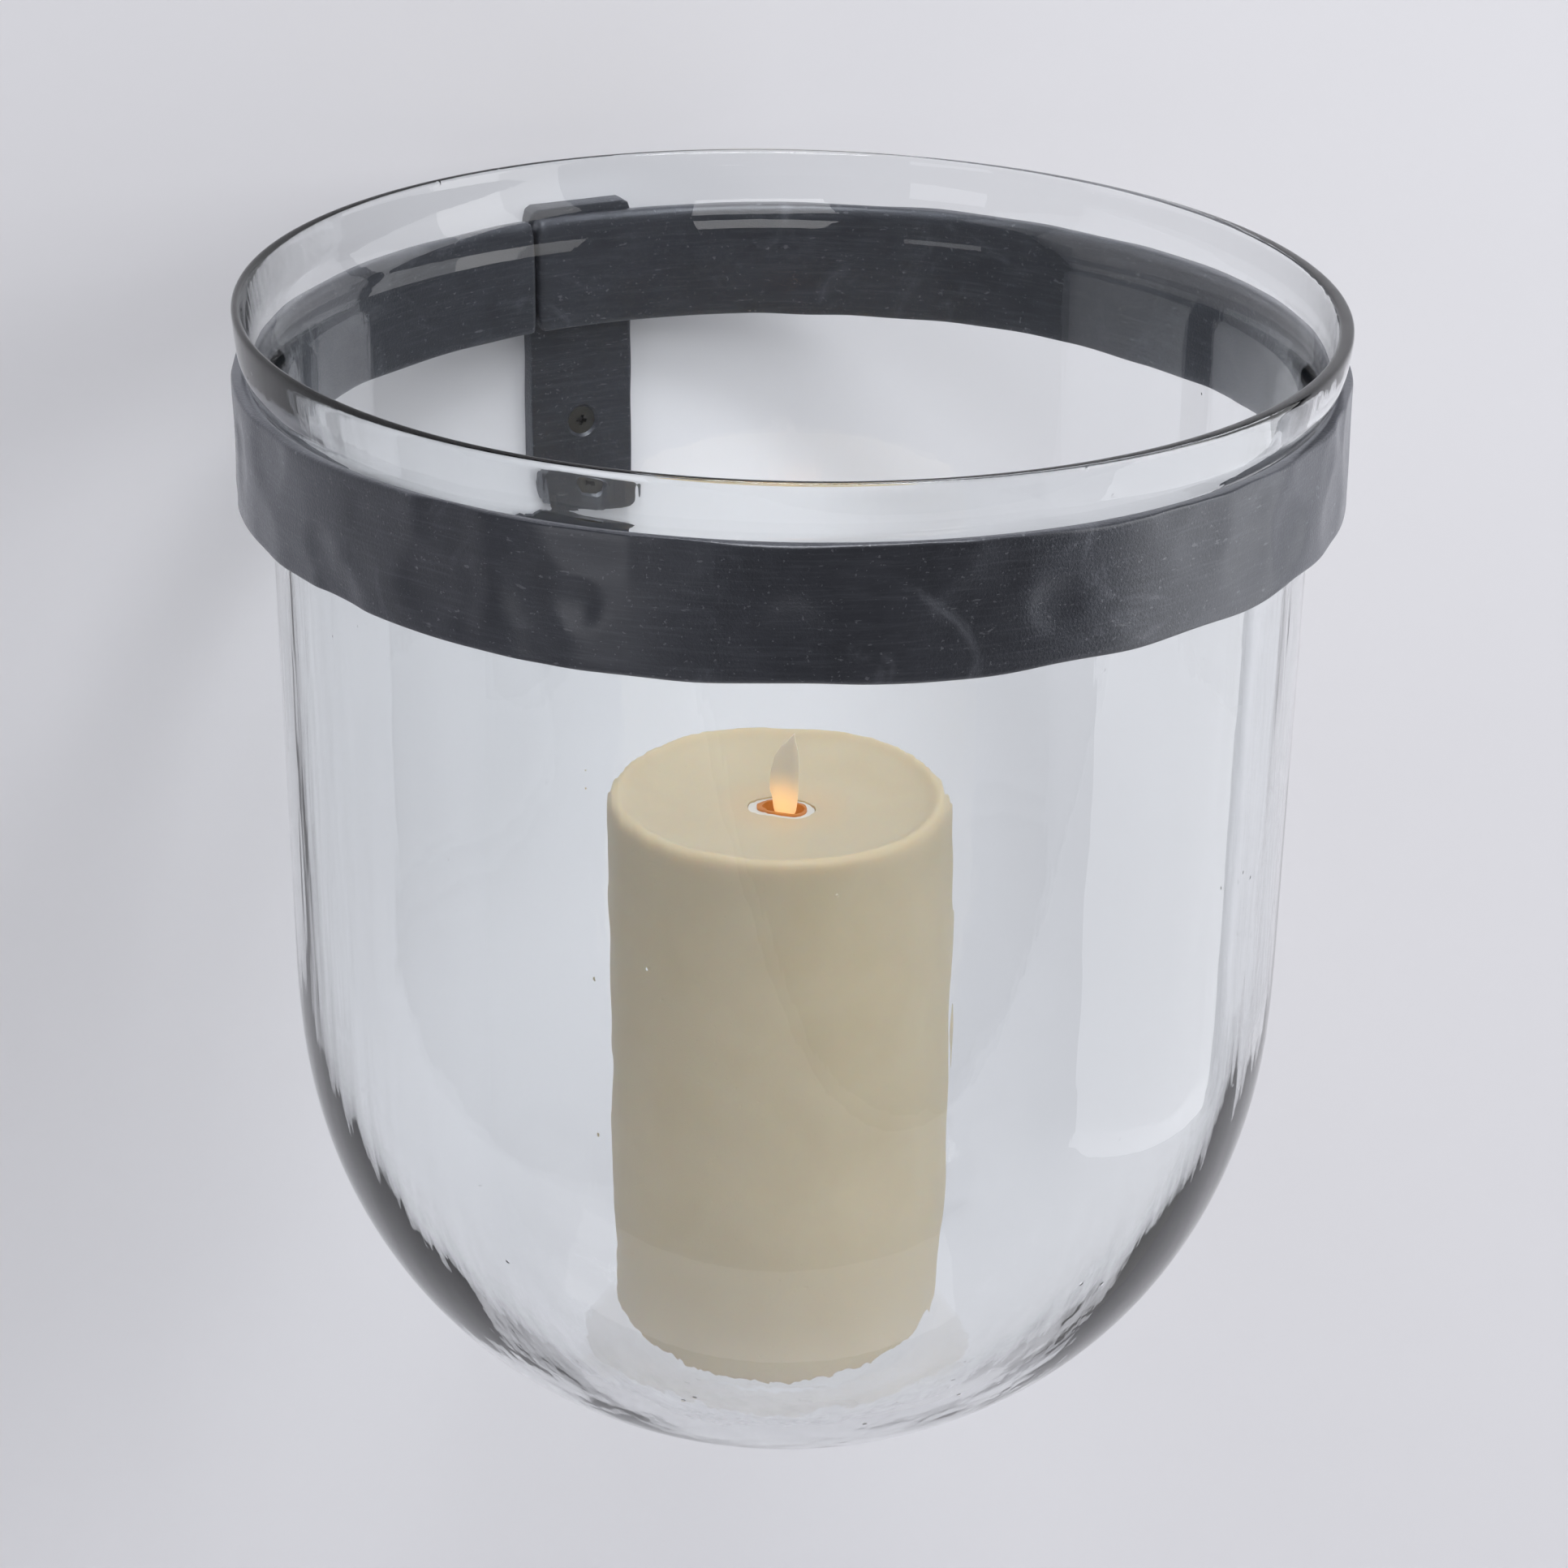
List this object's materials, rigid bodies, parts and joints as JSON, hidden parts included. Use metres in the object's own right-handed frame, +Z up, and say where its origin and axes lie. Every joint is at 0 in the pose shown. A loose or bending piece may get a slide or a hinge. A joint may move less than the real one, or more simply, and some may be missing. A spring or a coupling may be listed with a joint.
{
  "type": "wall sconce candle holder",
  "caption": "Wall sconce: a clear glass bell hung by its shoulder in a hammered iron ring on a screwed wall plate, holding a battery-lit wax pillar candle with a moving flame.",
  "frame": {"origin": "on the wall plate's back face, halfway between the two wall screws", "axes": "+Y points into the wall, +Z up, +X to the right of someone facing the wall"},
  "size_m": [0.314, 0.3526, 0.3495],
  "materials": {
    "blackened_iron": "hand-hammered, blackened and waxed, satin",
    "screw_steel": "plain steel, slightly dulled",
    "clear_glass": "clear blown glass, faintly wavy",
    "ivory_wax": "real wax, satin, slightly translucent",
    "core_plastic": "moulded, matte",
    "amber_liner": "translucent amber",
    "bright_steel": "drawn wire",
    "lamp_lens": "clear warm lens",
    "white_nylon": "moulded nylon",
    "copper_wire": "enamelled winding",
    "green_board": "solder mask",
    "cell_jacket": "plain wrapped cell",
    "nickel_contact": "nickel plate",
    "base_plastic": "moulded, fine texture",
    "flame_plastic": "translucent, glows warm at the base",
    "magnet_nickel": "nickel plate"
  },
  "bodies": {
    "root": {"ring_band": "blackened_iron", "wall_plate": "blackened_iron", "plate_welds": "blackened_iron", "wall_screws": "screw_steel"},
    "vessel": {"glass_vessel": "clear_glass"},
    "candle": {"wax_pillar": "ivory_wax", "core_housing": "core_plastic", "flame_collar": "amber_liner", "pivot_wire": "bright_steel", "led_lamp": "lamp_lens", "coil_bobbin": "white_nylon", "drive_coil": "copper_wire", "circuit_board": "green_board", "board_screws": "screw_steel", "battery_tray": "core_plastic", "battery_cells": "cell_jacket", "contact_springs": "nickel_contact", "contact_strips": "nickel_contact", "base_cap": "base_plastic", "base_screws": "screw_steel", "battery_door": "base_plastic", "door_screw": "screw_steel", "switch_body": "base_plastic"},
    "flame": {"flame_blade": "flame_plastic", "flame_magnet": "magnet_nickel"},
    "switch": {"switch_slider": "white_nylon"}
  },
  "joints": [
    {"name": "vessel_lift", "type": "slide", "parent": "root", "child": "vessel", "axis": [0, 0, 1], "range_m": [0, 0.36]},
    {"name": "candle_lift", "type": "slide", "parent": "vessel", "child": "candle", "axis": [0, 0, 1], "range_m": [0, 0.36]},
    {"name": "flame_swing", "type": "hinge", "parent": "candle", "child": "flame", "pos_m": [-0.0017, -0.1626, -0.0537], "axis": [-0.6428, -0.766, 0], "range_deg": [-8, 8]},
    {"name": "switch_slide", "type": "slide", "parent": "candle", "child": "switch", "axis": [1, 0, 0], "range_m": [0, 0.0035]}
  ]
}
